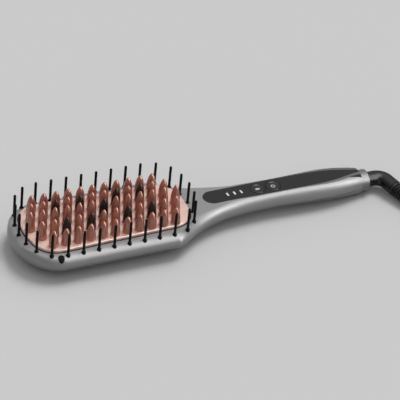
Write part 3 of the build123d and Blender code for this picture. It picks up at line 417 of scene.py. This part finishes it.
PLATE_TOP = 23.2
CONE_BASE = 3.92
CONE_FOOT = 0.12  # width of the bevel at the plate
CONE_FOOT_HEIGHT = 0.25
CONE_STEPS = 18
# powers of the bullet's outline: how late it curves in, and how blunt it ends
CONE_CURVE, CONE_BLUNT = 2.1, 0.62
CONE_HEIGHT = 17.1
ROW_DROP = 1.6  # each row further out is this much shorter
CONE_PITCH = 10.0
ROW_PITCH = 12.0
MIDDLE_COUNT = 13
ROWS = {-2: "right_outer", -1: "right_inner", 0: "middle", 1: "left_inner", 2: "left_outer"}
# rows away from the middle one: how many pitches from the row's middle its dark bristles stand
DARK_STEPS = {0: (0.0,), 1: (1.5, 3.5)}


def cone_profile(height):
    """A bullet-shaped bristle with a small bevel where it meets the plate."""
    side = CONE_BASE - CONE_FOOT
    foot = PLATE_TOP + CONE_FOOT_HEIGHT
    points = [(0.0, PLATE_TOP), (CONE_BASE, PLATE_TOP), (side, foot)]
    for number in range(1, CONE_STEPS + 1):
        share = sin(pi / 2 * number / CONE_STEPS)
        radius = side * (1 - share**CONE_CURVE) ** CONE_BLUNT
        points.append((radius, foot + share * (height - CONE_FOOT_HEIGHT)))
    points[-1] = (0.0, PLATE_TOP + height)
    return points


for row, row_name in ROWS.items():
    count = MIDDLE_COUNT - abs(row)
    dark_steps = DARK_STEPS.get(abs(row), ())
    outline = cone_profile(CONE_HEIGHT - abs(row) * ROW_DROP)
    places = {"heated": [], "dark": []}
    for number in range(count):
        step = number - (count - 1) / 2
        kind = "dark" if abs(step) in dark_steps else "heated"
        places[kind].append((step * CONE_PITCH, row * ROW_PITCH))
    for kind, look, slot in (
        ("heated", rose_cone, "rose_gold"),
        ("dark", dark_cone if row else shiny_cone, "dark_bristle"),
    ):
        if places[kind]:
            cones = copies_of(outline, places[kind], CONE_SEGMENTS)
            name, node = f"{kind}_cones_{row_name}", f"{kind}_bristles_{row_name}"
            finished(cones, name, look, "brush", slot, node)


def island_centres(node):
    """The middle of each separate solid in a CAD node, as (x, y) in millimetres."""
    loose = bmesh.new()
    loose.from_mesh(NODES[node].data)
    bmesh.ops.remove_doubles(loose, verts=loose.verts, dist=WELD * MM)
    left = set(loose.verts)
    centres = []
    while left:
        front = [left.pop()]
        island = list(front)
        while front:
            for edge in front.pop().link_edges:
                for vert in edge.verts:
                    if vert in left:
                        left.discard(vert)
                        front.append(vert)
                        island.append(vert)
        xs = [vert.co.x for vert in island]
        ys = [vert.co.y for vert in island]
        centres.append(((min(xs) + max(xs)) / 2 / MM, (min(ys) + max(ys)) / 2 / MM))
    loose.free()
    return sorted(centres)


PIN_RADIUS = 1.05
PIN_BOTTOM = 16.5
PIN_TOP = 40.3
PIN_SHOULDER = PIN_TOP - PIN_RADIUS  # the round tip starts here
TIP_STEPS = 6
FOOT_RADIUS = 1.74
FOOT_BOTTOM = 19.35
# (radius, height) of a pin with its round foot
pin_outline = [
    (0.0, PIN_BOTTOM), (PIN_RADIUS, PIN_BOTTOM), (PIN_RADIUS, FOOT_BOTTOM),
    (FOOT_RADIUS - 0.05, FOOT_BOTTOM), (FOOT_RADIUS, 20.1), (FOOT_RADIUS, 20.75),
    (FOOT_RADIUS - 0.07, 21.15), (FOOT_RADIUS - 0.28, 21.5), (FOOT_RADIUS - 0.55, 21.75),
    (PIN_RADIUS + 0.06, 22.0), (PIN_RADIUS, 22.35), (PIN_RADIUS, PIN_SHOULDER),
]
for number in range(1, TIP_STEPS + 1):
    lean = pi / 2 * number / TIP_STEPS
    pin_outline.append((PIN_RADIUS * cos(lean), PIN_SHOULDER + PIN_RADIUS * sin(lean)))
pin_outline[-1] = (0.0, PIN_TOP)
for side in ("left", "right", "toe", "heel"):
    node = "guard_pins_" + side
    pins = copies_of(pin_outline, island_centres(node), PIN_SEGMENTS)
    finished(pins, "guard_pins_round_" + side, pin_black, "brush", "black_plastic", node)


# (radius, height) of a dished cap with the flange that holds it under the panel
button_outline = [
    (0.0, 16.9), (2.2, 16.9), (2.2, 18.4), (6.7, 18.4), (6.7, 19.2), (6.0, 19.2), (6.0, 21.35),
    (5.93, 21.58), (5.75, 21.75), (5.5, 21.8), (5.25, 21.74), (5.05, 21.6), (4.85, 21.38),
    (4.4, 21.22), (3.4, 21.13), (0.0, 21.1),
]
for node, x, look in (("mode_button", MODE_X, mode_black), ("power_button", POWER_X, power_black)):
    cap = copies_of(button_outline, [(x, 0.0)], BUTTON_SEGMENTS)
    finished(cap, node + "_cap", look, node, "button_black", node)


ELBOW_END = (249.716, -15.917, 8.103)
LEAD_WAY = (0.24948, -0.96467, -0.08469)
RELIEF_LENGTH = 36.5
RELIEF_BASE = 6.1
RELIEF_TIP = 4.3
RIB_PITCH = 2.6
RIB_DEPTH = 1.1
RIB_EDGE = 0.12  # the rounding of a rib's edge
FIRST_GROOVE = 2.4
PLAIN_END = 3.0  # no groove starts this close to the relief's tip
# (depth, distance) of the outline's points from the start of a groove to that of the next
GROOVE = (
    (RIB_EDGE, 0.0), (RIB_DEPTH, 0.15), (RIB_DEPTH, 0.9), (RIB_EDGE, 1.1), (0.0, 1.25),
    (0.0, RIB_PITCH - 0.15),
)
# (radius, distance along the cord's way) of the relief
relief_outline = [(0.0, 0.0), (RELIEF_BASE - 0.4, 0.0), (RELIEF_BASE, 0.4)]
reach = FIRST_GROOVE
while reach < RELIEF_LENGTH - PLAIN_END:
    outside = RELIEF_BASE + (RELIEF_TIP - RELIEF_BASE) * reach / RELIEF_LENGTH
    relief_outline += [(outside - depth, reach + distance) for depth, distance in GROOVE]
    reach += RIB_PITCH
relief_outline += [
    (RELIEF_TIP, RELIEF_LENGTH - 0.6), (RELIEF_TIP - 0.5, RELIEF_LENGTH), (0.0, RELIEF_LENGTH),
]
ribbed = bmesh.new()
turned(ribbed, relief_outline, RELIEF_SEGMENTS)
lead_turn = Vector(LEAD_WAY).to_track_quat("Z", "X").to_matrix().to_4x4()
lead_place = Matrix.Translation(Vector(ELBOW_END) * MM) @ lead_turn
bmesh.ops.transform(ribbed, matrix=lead_place, verts=ribbed.verts)
finished(
    ribbed, "ribbed_strain_relief", relief_black, "swivel", "cord_rubber", "strain_relief",
)


# ---------------------------------------------------------------- mains cord

CORD_RADIUS = 3.0
COIL_CENTRE = (309.92, -73.94)
COIL_LAYERS = (3.1, 9.1, 15.1)
COIL_RADII = (38.95, 32.9, 26.85)
POINTS_PER_TURN = 18
# the cells of the wound bundle in the order that the cord fills them: each names its
# place in COIL_RADII and in COIL_LAYERS
COIL_ORDER = ((0, 0), (0, 1), (1, 1), (1, 0), (2, 0), (2, 1), (2, 2), (1, 2), (0, 2))
# angles in degrees
COIL_START_ANGLE = 210
COIL_STEP_ANGLE = 90  # the cord steps from one cell to the next under the tie
COIL_END_ANGLE = 376
STEP_SPREAD = 30  # degrees on each side of the step that it takes

relief_to_coil = [
    (258.82, -51.13, 5.01),
    (261.69, -62.22, 4.04),
    (265.53, -73.06, 3.3),
    (270.39, -83.48, 3.1),
]
coil_to_plug = [
    (343.4, -49.24, 13.39),
    (339.83, -36.78, 6.95),
    (336.66, -25.7, 6.95),
]


def coil_points():
    """The turns of the coil, from its outer lowest turn to its outer top one."""
    spacing = 360 / POINTS_PER_TURN
    # the spline runs inside its points, so they stand this many times further out
    swell = 1 + (2 / (1 + cos(radians(spacing))) - 1) / 2
    last_cell = len(COIL_ORDER) - 1
    last_angle = COIL_END_ANGLE + 360 * last_cell
    points = []
    angle = COIL_START_ANGLE + spacing / 2
    while angle < last_angle - spacing / 4:
        wound = (angle - COIL_STEP_ANGLE) / 360
        step = min(max(round(wound), 1), last_cell)
        past = (wound - step) * 360
        blend = min(max((past + STEP_SPREAD) / (2 * STEP_SPREAD), 0), 1)
        old_ring, old_layer = COIL_ORDER[step - 1]
        new_ring, new_layer = COIL_ORDER[step]
        radius = COIL_RADII[old_ring] + blend * (COIL_RADII[new_ring] - COIL_RADII[old_ring])
        height = COIL_LAYERS[old_layer] + blend * (COIL_LAYERS[new_layer] - COIL_LAYERS[old_layer])
        reach = radius * swell
        turn = radians(angle)
        across = COIL_CENTRE[0] + reach * cos(turn)
        along = COIL_CENTRE[1] + reach * sin(turn)
        points.append((across, along, height))
        angle += spacing
    return points


def nurbs_line(name, points, radius, made):
    """A round cord on one smooth spline through its route."""
    curve = bpy.data.curves.new(name, "CURVE")
    curve.dimensions = "3D"
    spline = curve.splines.new("NURBS")
    spline.points.add(len(points) - 1)
    for place, point in zip(spline.points, points):
        place.co = (point[0] * MM, point[1] * MM, point[2] * MM, 1.0)
    spline.order_u = 3
    spline.use_endpoint_u = True
    spline.resolution_u = 6
    curve.bevel_depth = radius * MM
    curve.bevel_resolution = 5
    curve.use_fill_caps = True
    curve.materials.append(made)
    line = bpy.data.objects.new(name, curve)
    bpy.context.scene.collection.objects.link(line)
    return line


cord_route = relief_to_coil + coil_points() + coil_to_plug
mains_cord = nurbs_line("mains_cord", cord_route, CORD_RADIUS, cord_black)
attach(mains_cord, "swivel")
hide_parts("power_cord", "cord_coil", "plug_lead")


# ---------------------------------------------------------------- stage, light and camera

FLOOR_HALF_SIZE = 12.0
FLOOR_TONE = 0.615  # as the camera and mirror-like surfaces see it
FLOOR_BOUNCE = 0.08  # what the floor throws back into shaded places
floor_mesh = bpy.data.meshes.new("floor")
shape = bmesh.new()
bmesh.ops.create_grid(shape, x_segments=1, y_segments=1, size=FLOOR_HALF_SIZE)
shape.to_mesh(floor_mesh)
shape.free()
floor = bpy.data.objects.new("floor", floor_mesh)
bpy.context.scene.collection.objects.link(floor)
floor_paint = bpy.data.materials.new("pale_floor")
floor_paint.use_nodes = True
floor_tree = floor_paint.node_tree
floor_shader = floor_tree.nodes["Principled BSDF"]
floor_shader.inputs["Roughness"].default_value = 1.0
floor_shader.inputs["Specular IOR Level"].default_value = 0.0
floor_rays = floor_tree.nodes.new("ShaderNodeLightPath")
floor_colour = colour_mix(
    floor_tree, floor_rays.outputs["Is Diffuse Ray"], (FLOOR_TONE,) * 3, (FLOOR_BOUNCE,) * 3,
)
floor_tree.links.new(floor_colour, floor_shader.inputs["Base Color"])
floor_mesh.materials.append(floor_paint)


# the softbox gives the direct light and its shadow, the strips give highlights alone
SOFTBOX_WAY = (0.42, 0.22, 0.88)
SOFTBOX_STRENGTH = 1.6
SOFTBOX_SPREAD = 30  # degrees
STRIP_DISTANCE = 1.5
# name, direction, strength, width and height
STRIPS = (
    ("side_strip", (0.79, -0.58, 0.22), 12.0, 0.5, 0.9),
    ("front_strip", (0.42, -0.45, 0.79), 25.0, 1.3, 1.8),
)


def studio_lamp(name, kind, way, strength):
    """A lamp that shines from the direction way towards the origin."""
    data = bpy.data.lights.new(name, kind)
    data.energy = strength
    lamp = bpy.data.objects.new(name, data)
    lamp.rotation_mode = "QUATERNION"
    lamp.rotation_quaternion = Vector(way).to_track_quat("Z", "Y")
    bpy.context.scene.collection.objects.link(lamp)
    return lamp


softbox = studio_lamp("overhead_softbox", "SUN", SOFTBOX_WAY, SOFTBOX_STRENGTH)
softbox.data.angle = radians(SOFTBOX_SPREAD)
softbox.visible_glossy = False
for name, way, strength, width, height in STRIPS:
    strip = studio_lamp(name, "AREA", way, strength)
    strip.data.shape = "RECTANGLE"
    strip.data.size = width
    strip.data.size_y = height
    strip.location = Vector(way) * STRIP_DISTANCE
    strip.visible_diffuse = False

# the room as mirror-like surfaces see it: darker low down and in front, bright overhead
ROOM_STEPS = (
    (0.0, 0.12), (0.22, 0.25), (0.53, 0.38), (0.68, 0.42), (0.77, 0.62), (0.9, 0.95), (1.0, 1.0),
)
BACK_LIFT = 0.12  # how far the back of the room is ahead of the front in the steps
WALL_TONE = 0.52  # the room as matt surfaces are lit by it, the same from every side
world = bpy.data.worlds.new("studio")
world.use_nodes = True
bpy.context.scene.world = world
room = world.node_tree
way_in = room.nodes.new("ShaderNodeTexCoord")
split_way = room.nodes.new("ShaderNodeSeparateXYZ")
room.links.new(way_in.outputs["Generated"], split_way.inputs[0])
towards_back = math_node(room, "MULTIPLY", split_way.outputs["Y"], BACK_LIFT)
level = math_node(room, "ADD", split_way.outputs["Z"], towards_back)
steps = room.nodes.new("ShaderNodeValToRGB")
ramp = steps.color_ramp
while len(ramp.elements) < len(ROOM_STEPS):
    ramp.elements.new(1.0)
for element, (place, tone) in zip(ramp.elements, ROOM_STEPS):
    element.position = place
    element.color = (tone, tone, tone, 1.0)
room.links.new(level, steps.inputs["Fac"])
room_rays = room.nodes.new("ShaderNodeLightPath")
walls = colour_mix(
    room, room_rays.outputs["Is Diffuse Ray"], steps.outputs["Color"], (WALL_TONE,) * 3,
)
room.links.new(walls, room.nodes["Background"].inputs["Color"])

bpy.context.scene.view_settings.view_transform = "Standard"

CAMERA_PLACE = Vector((-0.5486, -1.1968, 0.9655))
CAMERA_RIGHT = Vector((0.90774056, -0.41071917, 0.08553849))
CAMERA_DOWN = Vector((-0.17307202, -0.55234138, -0.81545391))
LENS = 189.86
SENSOR = 36.0

view = bpy.data.cameras.new("product_camera")
view.sensor_width = SENSOR
view.lens = LENS
view.clip_start = 0.05
view.clip_end = 50.0
camera = bpy.data.objects.new("product_camera", view)
camera_up = -CAMERA_DOWN
camera_back = CAMERA_RIGHT.cross(camera_up)
camera_turn = Matrix((CAMERA_RIGHT, camera_up, camera_back)).transposed()
camera.matrix_world = Matrix.Translation(CAMERA_PLACE) @ camera_turn.to_4x4()
bpy.context.scene.collection.objects.link(camera)
bpy.context.scene.camera = camera
